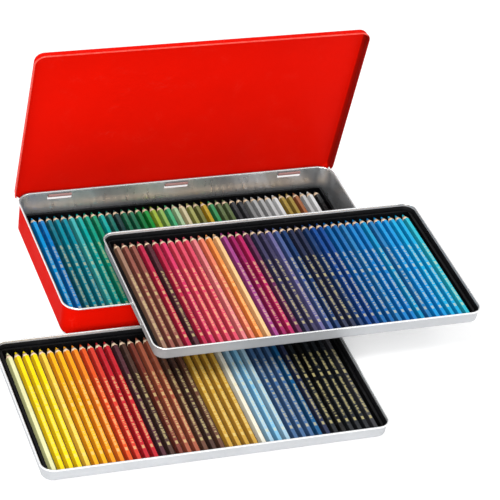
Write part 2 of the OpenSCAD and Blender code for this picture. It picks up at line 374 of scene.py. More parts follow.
@dataclass(frozen=True)
class Lacquer(Finish):
    """Stoved lacquer on sheet metal: even colour, faint orange peel, hair scratches and wiped patches.

    The light that it throws on its neighbours takes the thrown colour, as white cards round a
    product in a studio keep one piece from tinting the next.
    """

    colour: str = "DE1003"
    gloss: float = 0.34
    shine: float = 0.02
    thrown: str = "8E8A8A"
    scratched: str = "F08A7C"
    dusted: str = "C8BDB8"
    deepest: float = 0.95
    thrown_share: float = 0.95
    scratch_share: float = 0.05
    scratch_rough: float = 0.15
    scratch_height: float = -0.5
    wiped_gloss: Span = (-0.05, 0.09)
    peel_scale: float = 650.0
    peel_strength: float = 0.12
    peel_depth: float = 0.06 * MM

    def coat(self, board: Board, place: Socket) -> tuple[Socket, Socket, Socket]:
        """Works out the lacquer by itself.

        Args:
            board: The material's board.
            place: Object coordinates.

        Returns:
            Its colour, its roughness and its height.
        """
        scratch = board.scratches(place, scale=26.0, cover=0.62)
        colour = board.blend(board.mottle(place, scale=22.0), linear(self.colour, self.deepest), self.colour)
        colour = board.blend(board.times(scratch, self.scratch_share), colour, self.scratched)
        colour = board.blend(board.dust(place, amount=0.04), colour, self.dusted)
        path = board.add("ShaderNodeLightPath").outputs
        passed_on = board.math("MAXIMUM", path["Is Diffuse Ray"], path["Is Glossy Ray"])
        colour = board.blend(board.times(passed_on, self.thrown_share), colour, self.thrown)
        low, high = (self.gloss + wiped for wiped in self.wiped_gloss)
        rough = board.plus(board.mottle(place, scale=38.0, low=low, high=high), scratch, self.scratch_rough)
        peel = board.plus(board.noise(place, self.peel_scale, detail=1.0), scratch, self.scratch_height)
        return colour, rough, peel

    def dress(self, board: Board, place: Socket) -> dict[str, Value]:
        """Works out the lacquer for the shader (see Finish.dress)."""
        colour, rough, peel = self.coat(board, place)
        normal = board.bump(peel, self.peel_strength, self.peel_depth)
        return {"Base Color": colour, "Roughness": rough, "Normal": normal, "Specular IOR Level": self.shine}


@dataclass(frozen=True)
class HemmedLacquer(Lacquer):
    """The lid's lacquer, with a painted highlight over the rolled hem.

    The hem is found on the closed lid: the place is turned back about the hinge line, and what
    lies below hem_top there is hem. The side beyond shaded_x is darkened with painted shade, for
    the shade inside that skirt.
    """

    hinge: Point = (0.0, 0.0, 0.0)
    opened: float = 0.0
    hem_top: float = 0.0
    shaded_x: float = 1.0
    hem_highlight_colour: str = "F4604E"
    painted_shade_colour: str = "7C0A04"
    painted_shade_share: float = 0.8
    painted_shade_edge: float = 1.5 * MM
    hem_edge: Span = (-0.2 * MM, 0.1 * MM)
    highlight_most: float = 0.6

    def dress(self, board: Board, place: Socket) -> dict[str, Value]:
        """Works out the lacquer, its painted hem highlight and its painted shade for the shader (see
        Finish.dress).
        """
        turn = {"Vector": place, "Center": self.hinge, "Angle": math.radians(self.opened)}
        closed = board.add("ShaderNodeVectorRotate", turn, rotation_type="X_AXIS").outputs[0]
        hem_starts, hem_ends = (self.hem_top + edge for edge in self.hem_edge)
        below = board.span(board.split(closed)[2], hem_starts, hem_ends, 1.0, 0.0)
        side = board.span(board.split(place)[0], self.shaded_x - self.painted_shade_edge, self.shaded_x)
        # Painted highlight: the hem below hem_top is blended towards a pale pink, broken up by a mottle and
        # given a coat over the same strip, but not on the shaded side.
        hem_highlight_mottle = board.mottle(place, scale=120.0, low=self.highlight_most / 2, high=self.highlight_most)
        bright = board.times(board.math("SUBTRACT", below, side, clamp=True), hem_highlight_mottle)
        feeds = super().dress(board, place)
        # Painted shade: the side beyond shaded_x is blended towards a dark red.
        colour = board.blend(board.times(side, self.painted_shade_share), feeds["Base Color"], self.painted_shade_colour)
        feeds["Base Color"] = board.blend(bright, colour, self.hem_highlight_colour)
        feeds["Coat Weight"] = board.span(bright, 0.0, self.highlight_most)
        feeds["Coat Roughness"] = self.gloss
        return feeds


@dataclass(frozen=True)
class Tinplate:
    """Satin tinned steel: rolling streaks, cloudy handling marks and a few bright scratches.

    What stands above rim_above is the rolled rim, which handling has burnished.
    """

    colour: str = "B6B8BB"
    rim_colour: str = "ECEDEE"
    rim_above: float = 1.0
    streaks: Point = (16.0, 900.0, 900.0)
    gloss: float = 0.4
    metallic: float = 0.35
    rim_metallic: float = 0.75
    rim_rough: float = -0.16
    rim_edge: float = 0.2 * MM
    dullest: float = 0.86
    streak_depth: float = 0.035
    streak_tone: float = 5.0
    cloud_tone: float = 0.25
    cloud_rough: Span = (0.05, -0.03)
    scratch_rough: float = -0.08
    scratch_height: float = -0.3

    def metal(self, board: Board, place: Socket) -> tuple[Socket, Socket, Socket, Socket]:
        """Works out the bare metal.

        Args:
            board: The material's board.
            place: Object coordinates.

        Returns:
            Its colour, its roughness, its height and how metallic it is.
        """
        grain = board.grain(place, self.streaks, -self.streak_depth, self.streak_depth)
        cloud = board.mottle(place, scale=30.0)
        scratch = board.scratches(place, scale=34.0, cover=0.58)
        streaked = board.times(grain["Value"], self.streak_tone)
        tone = board.math("ADD", board.span(cloud, 0.0, 1.0, self.cloud_tone, 1.0), streaked, clamp=True)
        rim = board.span(board.split(place)[2], self.rim_above - self.rim_edge, self.rim_above)
        sheet = board.blend(tone, linear(self.colour, self.dullest), self.colour)
        rough = board.span(cloud, 0.0, 1.0, *(self.gloss + cloudy for cloudy in self.cloud_rough))
        rough = board.plus(board.math("ADD", rough, grain["Value"]), scratch, self.scratch_rough)
        rough = board.plus(rough, rim, self.rim_rough)
        height = board.plus(grain["Height"], scratch, self.scratch_height)
        metallic = board.span(rim, 0.0, 1.0, self.metallic, self.rim_metallic)
        return board.blend(rim, sheet, self.rim_colour), rough, height, metallic


class Face(Enum):
    """The face of the sheet that is lacquered, by the comparison that finds it."""

    OUTER = "GREATER_THAN"
    INNER = "LESS_THAN"


@dataclass(frozen=True)
class PressedShell:
    """A packed shell of pressed sheet: its corners on plan, turned foot, leaning wall and rolled rim."""

    node: str
    corner: float
    rim: float
    lean: float = 0.0
    foot: float = 2.5 * MM
    sheet: float = 0.4 * MM

    @property
    def underside(self) -> Point:
        """The middle of the underside."""
        low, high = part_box(self.node)
        return (low[0] + high[0]) / 2, (low[1] + high[1]) / 2, low[2]

    @property
    def half_sizes(self) -> tuple[float, float]:
        """Half the width and depth at the foot: half the box, less the lean and the rim's bead."""
        low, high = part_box(self.node)
        bead = self.lean + 2 * self.rim - self.sheet
        return (high[0] - low[0]) / 2 - bead, (high[1] - low[1]) / 2 - bead

    @property
    def under_rim(self) -> float:
        """Where the rolled rim begins, by the frame."""
        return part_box(self.node)[1][2] - 2 * self.rim


@dataclass(frozen=True)
class LacqueredTin(Finish):
    """Sheet lacquered on one face, and bare on the other, on the rolled rim and for a strip below it.

    A point is on the outer face if it lies further than foot less half the sheet from the centre
    line of the turned foot, carried up the wall: root(a * a + b * b), where a is how far the point
    is outside that line on plan, less what the wall leans out there, and b how far it is below it.
    """

    shell: PressedShell
    face: Face = Face.OUTER
    bare: float = 0.0
    relief: float = 0.12
    relief_strength: float = 0.15
    relief_depth: float = 0.05 * MM
    ior: float = 1.15
    lacquer: Lacquer = field(default_factory=lambda: Lacquer("lacquer part"))
    tinplate: Tinplate = field(default_factory=Tinplate)

    def painted(self, board: Board, place: Socket) -> Socket:
        """Marks the lacquered face.

        Args:
            board: The material's board.
            place: Object coordinates.

        Returns:
            One on the lacquer and nought on the bare metal.
        """
        shell = self.shell
        x, y, z = board.split(board.vector("SUBTRACT", place, shell.underside))
        over_x, over_y = (
            board.past(board.math("ABSOLUTE", axis), half - shell.corner)
            for axis, half in zip((x, y), shell.half_sizes)
        )
        rim_start, line = shell.under_rim - shell.underside[2], shell.corner - shell.foot
        leaned = board.span(z, shell.foot, rim_start + shell.rim, line, line + shell.lean)
        outside = board.past(board.root(over_x, over_y), leaned)
        turn = board.root(outside, board.past(shell.foot, z))
        lacquered = board.math(self.face.value, turn, shell.foot - shell.sheet / 2)
        return board.times(lacquered, board.math("LESS_THAN", z, rim_start - self.bare))

    def dress(self, board: Board, place: Socket) -> dict[str, Value]:
        """Works out lacquer or metal for the shader, face by face (see Finish.dress)."""
        painted = self.painted(board, place)
        coat, coat_rough, peel = self.lacquer.coat(board, place)
        metal, metal_rough, height, metallic = self.tinplate.metal(board, place)
        relief = board.weigh(painted, board.times(height, self.relief), peel)
        return {
            "Base Color": board.blend(painted, metal, coat),
            "Metallic": board.math("SUBTRACT", metallic, painted, clamp=True),
            "Roughness": board.weigh(painted, metal_rough, coat_rough),
            "Normal": board.bump(relief, self.relief_strength, self.relief_depth),
            "Specular IOR Level": self.lacquer.shine,
            "IOR": self.ior,
        }


@dataclass(frozen=True)
class MouldedPlastic(Finish):
    """Vacuum-formed black plastic: fine leathery skin, dust in the troughs and rubbed high spots."""

    colour: str = "070708"
    clouded: str = "0E0E10"
    rubbed: str = "4A4A4E"
    dusted: str = "8A8580"
    rubbed_share: float = 0.12
    dust_rough: float = 0.4
    skin_scale: float = 2200.0
    skin_strength: float = 0.25
    skin_depth: float = 0.04 * MM
    shine: float = 0.08

    def dress(self, board: Board, place: Socket) -> dict[str, Value]:
        """Works out the plastic for the shader (see Finish.dress)."""
        dust = board.dust(place, amount=0.08)
        colour = board.blend(board.mottle(place, scale=50.0), self.colour, self.clouded)
        skin = board.mottle(place, scale=90.0, low=0.24, high=0.36)
        rubbing = board.times(board.scratches(place, scale=40.0, cover=0.55), self.rubbed_share)
        colour = board.blend(rubbing, colour, self.rubbed)
        return {
            "Base Color": board.blend(dust, colour, self.dusted),
            "Roughness": board.plus(skin, dust, self.dust_rough),
            "Normal": board.bump(board.noise(place, self.skin_scale), self.skin_strength, self.skin_depth),
            "Specular IOR Level": self.shine,
        }


@dataclass(frozen=True)
class PencilPaint(Finish):
    """Glossy pencil lacquer in the colour that the mesh carries, with pale foil ticks on its upper flat.

    Rays mirrored off other surfaces see the paint greyed and paler: a painted reflection.

    The piece's map gives whole pencils plus the share of the way round in u, starting at the
    upper flat, and the share of the length from the blunt end in v.
    """

    flat_share: float = 0.15
    length: float = 0.175
    foil: str = "E0D290"
    foil_share: float = 0.47
    dusted: str = "D8D4CE"
    foil_rough: float = 0.1
    foil_height: float = -0.6
    tick_pitch: float = 1.05 * MM
    tick_runs: tuple[Span, Span] = ((0.15, 0.46), (0.53, 0.69))
    tick_foot: Span = (0.08, 0.3)
    tick_head: Span = (0.62, 0.96)
    tick_width: Span = (0.55, 0.95)
    tick_gaps: float = 0.2
    marks: tuple[Span, Span] = ((0.485, 0.515), (0.1, 0.125))
    marks_across: Span = (0.15, 0.85)
    left_starts: float = 0.8
    left_edge: Span = (0.825, 0.845)
    left_shade: float = 0.5
    right_edge: Span = (0.155, 0.175)
    right_shade: float = 0.7
    shade_blackened: float = 0.8
    scratch_share: float = 0.1
    mirrored_pale: float = 0.75
    brush_marks: Point = (1500.0, 40.0, 1500.0)
    relief_strength: float = 0.1
    relief_depth: float = 0.05 * MM
    shine: float = 0.18

    def ticks(self, board: Board, u: Socket, v: Socket) -> Socket:
        """Marks the stamped foil: two runs of short uneven ticks, a dash between and a patch near the end.

        Args:
            board: The material's board.
            u: Whole pencils plus the share of the way round.
            v: The share of the length.

        Returns:
            A mask, one on the foil.
        """
        across = board.math("DIVIDE", board.math("FRACT", u), self.flat_share)
        step = board.times(v, self.length / self.tick_pitch)
        numbers = {0: board.math("FLOOR", step), 1: board.math("FLOOR", u), 2: 0.0}
        cell = board.add("ShaderNodeCombineXYZ", numbers).outputs[0]
        chance = board.add("ShaderNodeTexWhiteNoise", {"Vector": cell}, noise_dimensions="3D").outputs
        foot_chance, head_chance, width_chance = board.split(chance["Color"])
        foot = board.span(foot_chance, 0.0, 1.0, *self.tick_foot)
        head = board.span(head_chance, 0.0, 1.0, *self.tick_head)
        width = board.span(width_chance, 0.0, 1.0, *self.tick_width)
        inked = board.math("GREATER_THAN", chance["Value"], self.tick_gaps)
        tall = board.times(board.within(across, foot, head), inked)
        tick = board.times(tall, board.math("LESS_THAN", board.math("FRACT", step), width))
        run = board.times(tick, self.either(board, v, self.tick_runs))
        mark = board.times(board.within(across, *self.marks_across), self.either(board, v, self.marks))
        return board.math("MAXIMUM", run, mark)

    @staticmethod
    def either(board: Board, value: Socket, spans: tuple[Span, Span]) -> Socket:
        """One where the value lies within either of two spans that don't meet."""
        first, second = (board.within(value, low, high) for low, high in spans)
        return board.math("ADD", first, second)

    def flat_painted_shade(self, board: Board, u: Socket) -> Socket:
        """How much painted shade darkens each flat below the upper one: half on the left, more on the right and
        below.

        Args:
            board: The material's board.
            u: Whole pencils plus the share of the way round.

        Returns:
            A share of painted shade from nought to one.
        """
        around = board.math("FRACT", u)
        left = board.span(around, *self.left_edge, 0.0, self.left_shade)
        right = board.span(around, *self.right_edge, 0.0, self.right_shade)
        return board.weigh(board.math("GREATER_THAN", around, self.left_starts), right, left)

    def dress(self, board: Board, place: Socket) -> dict[str, Value]:
        """Works out the paint and foil for the shader (see Finish.dress)."""
        u, v, _ = board.split(board.add("ShaderNodeUVMap", uv_map=ROUND_AND_ALONG).outputs["UV"])
        flat_shade_share, foil = self.flat_painted_shade(board, u), self.ticks(board, u, v)
        dust = board.dust(place, amount=0.06)
        marked = board.plus(dust, board.scratches(place, scale=60.0, cover=0.6), self.scratch_share)
        colour = board.blend(board.mottle(place, scale=70.0, high=0.1), board.paint(), BLACK)
        colour = board.blend(marked, colour, self.dusted)
        # Painted shade: the flats that face a neighbour are darkened, first multiplied by their own colour and
        # then blended towards black.
        colour = board.blend(flat_shade_share, colour, colour, "MULTIPLY")
        colour = board.blend(board.times(flat_shade_share, self.shade_blackened), colour, BLACK)
        colour = board.blend(board.times(foil, self.foil_share), colour, self.foil)
        grey = board.add("ShaderNodeRGBToBW", {0: colour}).outputs[0]
        glossy = board.add("ShaderNodeLightPath").outputs["Is Glossy Ray"]
        relief = board.plus(board.grain(place, self.brush_marks)["Height"], foil, self.foil_height)
        return {
            # Painted reflection: glossy rays see the paint blended towards its own grey.
            "Base Color": board.blend(board.times(glossy, self.mirrored_pale), colour, grey),
            "Roughness": board.plus(board.mottle(place, scale=120.0, low=0.2, high=0.3), foil, self.foil_rough),
            "Normal": board.bump(relief, self.relief_strength, self.relief_depth),
            "Specular IOR Level": self.shine,
        }


@dataclass(frozen=True)
class SharpenedWood(Finish):
    """Cut cedar at the cone: straight grain along the pencil, darker late wood and a torn, matt skin."""

    colour: str = "F8DEC0"
    late_colour: str = "DEB890"
    fibres: Point = (2200.0, 130.0, 2200.0)
    rings: Point = (420.0, 25.0, 420.0)
    skin_depth: float = 0.08 * MM
    shine: float = 0.3

    def dress(self, board: Board, place: Socket) -> dict[str, Value]:
        """Works out the wood for the shader (see Finish.dress)."""
        grain = board.grain(place, self.fibres)
        rings = board.noise(board.vector("MULTIPLY", place, self.rings), scale=1.0, detail=1.0)
        late = board.times(board.span(rings, 0.45, 0.62), 0.3)
        late = board.plus(late, grain["Value"], factor=0.45)
        return {
            "Base Color": board.blend(late, self.colour, self.late_colour),
            "Roughness": board.span(grain["Value"], 0.0, 1.0, 0.55, 0.75),
            "Normal": board.bump(grain["Height"], strength=0.35, depth=self.skin_depth),
            "Specular IOR Level": self.shine,
        }


@dataclass(frozen=True)
class ColouredLead(Finish):
    """Waxy coloured lead: the pencil's colour, a little deeper, with a burnished and crumbly skin."""

    crumb_scale: float = 3200.0
    crumb_depth: float = 0.06 * MM

    def dress(self, board: Board, place: Socket) -> dict[str, Value]:
        """Works out the lead for the shader (see Finish.dress)."""
        crumb = board.noise(place, self.crumb_scale, detail=3.0, rough=0.6)
        return {
            "Base Color": board.blend(board.mottle(place, scale=400.0, high=0.22), board.paint(), BLACK),
            "Roughness": board.span(crumb, 0.3, 0.7, 0.35, 0.6),
            "Normal": board.bump(crumb, strength=0.3, depth=self.crumb_depth),
        }


class Shelf:
    """The finishes in use, each built once."""

    def __init__(self) -> None:
        """Starts with no finish built."""
        self.built: dict[str, bpy.types.Material] = {}

    def take(self, finish: Finish) -> bpy.types.Material:
        """Gives the finish's material, building it the first time."""
        if finish.name not in self.built:
            self.built[finish.name] = finish.make()
        return self.built[finish.name]

    def paint_node(self, node: str, finish: Finish) -> None:
        """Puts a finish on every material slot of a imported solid.

        Args:
            node: The solid's name.
            finish: Its finish.
        """
        material = self.take(finish)
        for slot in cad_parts[node].material_slots:
            slot.material = material
        LOG.info("%s: %s", node, finish.name)


# ---- pencils ----------------------------------------------------------------


class Pigment(Enum):
    """The paint chart, in round values; neighbouring pencils may share a pot."""

    WHITE = "E8E8E8"
    IVORY = "E8E4D4"
    CREAM = "E4E4B0"
    PEARL = "CCCCCC"
    ASH = "B4B4B4"
    LEAD_GREY = "8C8C8C"
    CHARCOAL = "3C3C40"
    GRAPHITE = "202428"
    BLACK = "141414"
    LEMON = "FCDC08"
    PRIMROSE = "F8D048"
    GOLDEN = "F8B414"
    TANGERINE = "F8A018"
    ORANGE = "F08C24"
    FLAME = "E45824"
    VERMILION = "D84030"
    APRICOT = "F49850"
    PEACH = "F8C890"
    CORAL = "EC8468"
    SALMON = "E88488"
    WATERMELON = "E05068"
    ROSE = "D83C68"
    SIGNAL_RED = "C42430"
    CRIMSON = "BC2C4C"
    MAGENTA = "BC2864"
    RASPBERRY = "A02460"
    ORCHID = "A8488C"
    PLUM = "6C3058"
    MAROON = "583038"
    LAVENDER = "6C6898"
    PERIWINKLE = "4C6094"
    NIGHT_VIOLET = "444060"
    INK_NAVY = "2C3450"
    NAVY = "204070"
    ROYAL_BLUE = "144C94"
    SAPPHIRE = "0468AC"
    COBALT = "0080C8"
    STEEL_BLUE = "1C7CB8"
    AZURE = "0098DC"
    SKY_BLUE = "0098CC"
    CYAN = "00ACE0"
    AQUA = "28BCD0"
    BABY_BLUE = "84C0E0"
    PALE_BLUE = "A4C8DC"
    SLATE_BLUE = "486C98"
    OCEAN = "1C5C8C"
    ICE_TEAL = "40B4B4"
    DEEP_TEAL = "107488"
    LAGOON = "008CA0"
    TURQUOISE = "00ACA4"
    JADE = "00A084"
    EMERALD = "08946C"
    SPRUCE = "187468"
    BLACK_GREEN = "1C4040"
    PINE = "1C7050"
    IVY = "0C7C40"
    GRASS = "0C9438"
    MINT = "50B880"
    SPRING_GREEN = "98BC60"
    LIME = "A4BC3C"
    CELADON = "B4D4A8"
    SAND = "DCD0A8"
    REED = "ACAC64"
    LEAF = "3C985C"
    MOSS = "647448"
    OLIVE = "848448"
    MUSTARD = "C8A428"
    OCHRE = "CCA040"
    GOLD = "B09448"
    COPPER = "AC6C44"
    TERRACOTTA = "A85C44"
    RUSSET = "94584C"
    TAUPE = "A07C68"
    CHESTNUT = "7C3C30"
    UMBER = "6C4838"
    DARK_BROWN = "503830"


def row(names: str) -> tuple[Pigment, ...]:
    """Looks up a row of paints by name, left to right."""
    return tuple(Pigment[name] for name in names.split())


BASE_ROW = row(
    "AZURE COBALT DEEP_TEAL LAGOON LAGOON ICE_TEAL TURQUOISE JADE EMERALD TURQUOISE "
    "SPRUCE BLACK_GREEN PINE PINE IVY GRASS LIME SPRING_GREEN MINT CELADON "
    "SAND REED OLIVE MUSTARD LEAF MOSS MOSS CHARCOAL CHARCOAL LEAD_GREY "
    "ASH ASH PEARL WHITE GOLD GOLD COPPER PEARL WHITE BLACK"
)
MIDDLE_ROW = row(
    "TAUPE RUSSET RUSSET CRIMSON MAROON CRIMSON ROSE WATERMELON WATERMELON WATERMELON "
    "SALMON CORAL APRICOT PEACH ORCHID RASPBERRY MAGENTA PLUM NIGHT_VIOLET NIGHT_VIOLET "
    "LAVENDER PERIWINKLE NAVY INK_NAVY INK_NAVY NAVY ROYAL_BLUE ROYAL_BLUE SAPPHIRE SAPPHIRE "
    "STEEL_BLUE COBALT COBALT SKY_BLUE STEEL_BLUE AZURE AZURE CYAN CYAN AQUA"
)
FRONT_ROW = row(
    "CREAM LEMON LEMON LEMON PRIMROSE GOLDEN GOLDEN TANGERINE ORANGE FLAME "
    "VERMILION SIGNAL_RED SIGNAL_RED MAROON DARK_BROWN CHESTNUT TERRACOTTA TERRACOTTA UMBER DARK_BROWN "
    "UMBER OCHRE OCHRE OCHRE OCHRE IVORY PALE_BLUE BABY_BLUE PALE_BLUE SLATE_BLUE "
    "SLATE_BLUE SLATE_BLUE OCEAN INK_NAVY GRAPHITE BLACK GRAPHITE GRAPHITE GRAPHITE CHARCOAL"
)


@dataclass(frozen=True)
class PencilShape:
    """One hexagonal pencil, sharpened at one end, as rings of points carried along its axis.

    The point's end has the second of point_shares of its radius, and the first one point_round below it.
    """

    across: float = 7.6 * MM
    length: float = 175 * MM
    cone: float = 11 * MM
    lead: float = 3.6 * MM
    lead_slack: float = 0.02 * MM
    point: float = 0.9 * MM
    point_round: float = 0.3 * MM
    point_shares: tuple[float, float] = (1.2, 0.8)
    closed_butt: float = 1.5 * MM
    edge: float = 0.25 * MM
    first_wood_ring: int = 2
    side_angles: tuple[float, ...] = (-27.0, -9.0, 9.0, 27.0)

    @property
    def flat_height(self) -> float:
        """Height from flat to flat."""
        return self.across * math.cos(math.radians(30))

    @property
    def taper(self) -> float:
        """How much the cone's radius grows for each metre from the point."""
        return (self.across - self.point) / 2 / self.cone

    @property
    def bare_lead(self) -> float:
        """How far the lead stands out of the wood."""
        return (self.lead - self.point) / 2 / self.taper

    @property
    def angles(self) -> np.ndarray:
        """The rings' angles from the upper flat's left edge towards +X: a side's own, and 60 degrees a side."""
        return np.radians((np.arange(6)[:, None] * 60 + np.array(self.side_angles)).ravel())

    @property
    def outline(self) -> np.ndarray:
        """The hexagon's radius at each angle: half the height over the cosine of the angle off the flat."""
        off_flat = np.tile(np.radians(self.side_angles), 6)
        return self.flat_height / 2 / np.cos(off_flat)

    @property
    def round_share(self) -> np.ndarray:
        """The share of the way round at each angle, measured along the hexagon and ending at one."""
        x, z = self.outline * np.sin(self.angles), self.outline * np.cos(self.angles)
        steps = np.hypot(np.diff(x, append=x[0]), np.diff(z, append=z[0]))
        return np.concatenate([[0.0], np.cumsum(steps)]) / steps.sum()

    @property
    def flat_share(self) -> float:
        """The share of the way round that the upper flat takes."""
        return float(self.round_share[len(self.side_angles) - 1])

    def casing(self) -> tuple[np.ndarray, np.ndarray]:
        """The casing's rings: butt, chamfer, paint's scalloped end, cone, lead's edge and the bore behind it.

        The paint ends where the cone meets the hexagon, (radius - point radius) / taper from the point,
        which is what scallops it.

        Returns:
            Radius and distance from the blunt end, each rings by angles.
        """
        out, same = self.outline, np.ones_like(self.outline)
        scallop = (out - self.point / 2) / self.taper
        middle = (scallop + self.bare_lead) / 2
        bore = same * self.lead / 2
        radius = [out - self.edge, out, out, self.point / 2 + self.taper * middle, bore, bore]
        along = [
            0 * same,
            same * self.edge,
            self.length - scallop,
            self.length - middle,
            same * (self.length - self.bare_lead),
            same * self.closed_butt,
        ]
        return np.array(radius), np.array(along)

    def lead_rod(self) -> tuple[np.ndarray, np.ndarray]:
        """The lead's rings: its buried end, where it leaves the wood, and its blunt point.

        Returns:
            Radius and distance from the blunt end, each rings by angles.
        """
        same = np.ones_like(self.outline)
        rod = self.lead / 2 - self.lead_slack
        radius = (rod, rod, *(self.point / 2 * share for share in self.point_shares))
        wood_end = self.length - self.bare_lead
        along = (self.closed_butt, wood_end, self.length - self.point_round, self.length)
        return np.outer(radius, same), np.outer(along, same)


@dataclass
class RodBatch:
    """Several rods in one mesh: each a stack of rings with a pole at both ends.

    Point (ring i, angle a) is (x + r sin a, y + s, z + r cos a), where r is the ring's radius there
    and s its distance along; x, y and z are the rod's own start.
    """

    name: str
    shape: PencilShape
    rings: tuple[np.ndarray, np.ndarray]
    starts: np.ndarray

    def build(self, colours: np.ndarray) -> bpy.types.Object:
        """Makes the mesh.

        Args:
            colours: One colour for each rod.

        Returns:
            The object, linked, with its map and its colours.
        """
        radius, along = self.rings
        x, z = radius * np.sin(self.shape.angles), radius * np.cos(self.shape.angles)
        poles = [(0.0, along[0, 0], 0.0), (0.0, along[-1, 0], 0.0)]
        rod = np.concatenate([np.stack([x, along, z], axis=-1).reshape(-1, 3), poles])
        points = (self.starts[:, None, :] + rod[None]).reshape(-1, 3)
        shift = np.arange(len(self.starts))[:, None, None] * len(rod)
        faces = [
            face
            for part in self._faces()
            for face in (part[None] + shift).reshape(-1, part.shape[1]).tolist()
        ]
        mesh = bpy.data.meshes.new(self.name)
        mesh.from_pydata(points.tolist(), [], faces)
        layer = mesh.uv_layers.new(name=ROUND_AND_ALONG)
        layer.data.foreach_set("uv", self._map().astype(np.float32).ravel())
        paint = mesh.color_attributes.new(PAINT, "FLOAT_COLOR", "POINT")
        paint.data.foreach_set("color", np.repeat(colours, len(rod), axis=0).astype(np.float32).ravel())
        piece = bpy.data.objects.new(self.name, mesh)
        bpy.context.scene.collection.objects.link(piece)
        return piece

    def _corners(self) -> tuple[np.ndarray, np.ndarray]:
        """Finds each side quad's corners.

        Returns:
            Their rings and their columns, where the column after the last one is not yet wrapped.
        """
        rings, columns = self.rings[0].shape
        i, j = np.meshgrid(np.arange(rings - 1), np.arange(columns), indexing="ij")
        return np.stack([i, i, i + 1, i + 1], axis=-1), np.stack([j, j + 1, j + 1, j], axis=-1)

    def _faces(self) -> tuple[np.ndarray, np.ndarray]:
        """Numbers the corners of one rod's faces.

        Returns:
            The sides, four by four, and the ends, a fan of three by three about each pole.
        """
        rings, columns = self.rings[0].shape
        ring, column = self._corners()
        here = np.arange(columns)
        after, top, pole = (here + 1) % columns, (rings - 1) * columns, np.full(columns, rings * columns)
        butt = np.stack([pole, after, here], axis=-1)
        tip = np.stack([pole + 1, top + here, top + after], axis=-1)
        return (ring * columns + column % columns).reshape(-1, 4), np.concatenate([butt, tip])

    def _map(self) -> np.ndarray:
        """Works out the map: u is the rod's number plus the share of the way round, v the share of the length.

        Returns:
            The sides' corners, rod by rod, and then the ends'.
        """
        down = self.rings[1] / self.shape.length
        columns = down.shape[1]
        ring, column = self._corners()
        here, after = self.shape.round_share[:-1], self.shape.round_share[1:]
        ends_u = np.stack([[here, after, here], [here, here, after]]).transpose(0, 2, 1)
        number = np.arange(len(self.starts))[:, None]
        parts = (
            (self.shape.round_share[column], down[ring, column % columns]),
            (ends_u, np.repeat(down[[0, -1], 0], 3 * columns)),
        )
        every = (np.broadcast_arrays(u.reshape(1, -1) + number, v.reshape(1, -1)) for u, v in parts)
        return np.concatenate([np.stack(pair, axis=-1).reshape(-1, 2) for pair in every])


@dataclass
class PencilLayer:
    """One layer of forty pencils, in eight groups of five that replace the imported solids."""

    prefix: str
    body: str
    paints: Sequence[Pigment]
    shape: PencilShape = field(default_factory=PencilShape)
    groups: int = 8

    @property
    def per_group(self) -> int:
        """How many pencils a group has."""
        return len(self.paints) // self.groups

    def starts(self, group: int) -> np.ndarray:
        """Finds where a group's pencils start.

        Args:
            group: The group's number, from one.

        Returns:
            The middle of each blunt end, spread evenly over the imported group's box.
        """
        low, high = (np.array(corner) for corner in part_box(f"{self.prefix}_pencils_{group}"))
        half = self.shape.across / 2
        x = np.linspace(low[0] + half, high[0] - half, self.per_group)
        y, z = np.full_like(x, low[1]), np.full_like(x, low[2] + self.shape.flat_height / 2)
        return np.stack([x, y, z], axis=-1)

    def build(self, shelf: Shelf) -> None:
        """Builds the casings, group by group, and the layer's leads.

        Args:
            shelf: Where the finishes are taken from.
        """
        paint = shelf.take(PencilPaint("pencil_paint", self.shape.flat_share, self.shape.length))
        wood = shelf.take(SharpenedWood("sharpened_wood"))
        colours = np.array([linear(pigment.value) for pigment in self.paints])
        starts = [self.starts(group) for group in range(1, self.groups + 1)]
        for group, (own_starts, own_colours) in enumerate(zip(starts, np.split(colours, self.groups)), 1):
            batch = RodBatch(f"{self.prefix}_casings_{group}", self.shape, self.shape.casing(), own_starts)
            piece = batch.build(own_colours)
            piece.data.materials.append(paint)
            piece.data.materials.append(wood)
            self._give_wood(piece.data)
            self._place(piece, f"{self.prefix}_pencils_{group}")
        rings = self.shape.lead_rod()
        leads = RodBatch(f"{self.prefix}_lead_points", self.shape, rings, np.concatenate(starts)).build(colours)
        leads.data.materials.append(shelf.take(ColouredLead("coloured_lead")))
        leads.data.polygons.foreach_set("use_smooth", np.ones(len(leads.data.polygons), dtype=bool))
        self._place(leads, f"{self.prefix}_leads")

    def _place(self, piece: bpy.types.Object, node: str) -> None:
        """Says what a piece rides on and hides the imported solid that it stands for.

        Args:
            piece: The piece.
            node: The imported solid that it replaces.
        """
        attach(piece, self.body)
        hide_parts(node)
        LOG.info("%s: %d faces", piece.name, len(piece.data.polygons))

    def _give_wood(self, mesh: bpy.types.Mesh) -> None:
        """Gives the cone and the bore to the wood and shades them round; the painted flats stay crisp.

        Args:
            mesh: A group's casings.
        """
        rings, columns = self.shape.casing()[0].shape
        sides = np.tile(np.repeat(np.arange(rings - 1), columns), self.per_group)
        ends = np.tile(np.repeat([0, rings], columns), self.per_group)
        wooden = np.concatenate([sides, ends]) >= self.shape.first_wood_ring
        mesh.polygons.foreach_set("material_index", wooden.astype(np.int32))
        mesh.polygons.foreach_set("use_smooth", wooden)


# ---- tin, lid and trays -----------------------------------------------------


@dataclass
class TinBase:
    """The pressed base: lacquered outside, bright inside, with its moulded liner."""

    shell: PressedShell = PressedShell("base_shell", corner=15 * MM, rim=0.9 * MM)

    def build(self, shelf: Shelf) -> None:
        """Dresses the base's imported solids.

        Args:
            shelf: Where the finishes are taken from.
        """
        inside = Tinplate(
            colour="E4E6E8",
            rim_above=self.shell.under_rim,
            streaks=(220.0, 220.0, 8.0),
            gloss=0.3,
            metallic=0.88,
        )
        shelf.paint_node(self.shell.node, LacqueredTin("lacquered_tin", self.shell, tinplate=inside))
        shelf.paint_node("base_liner", MouldedPlastic("moulded_plastic"))


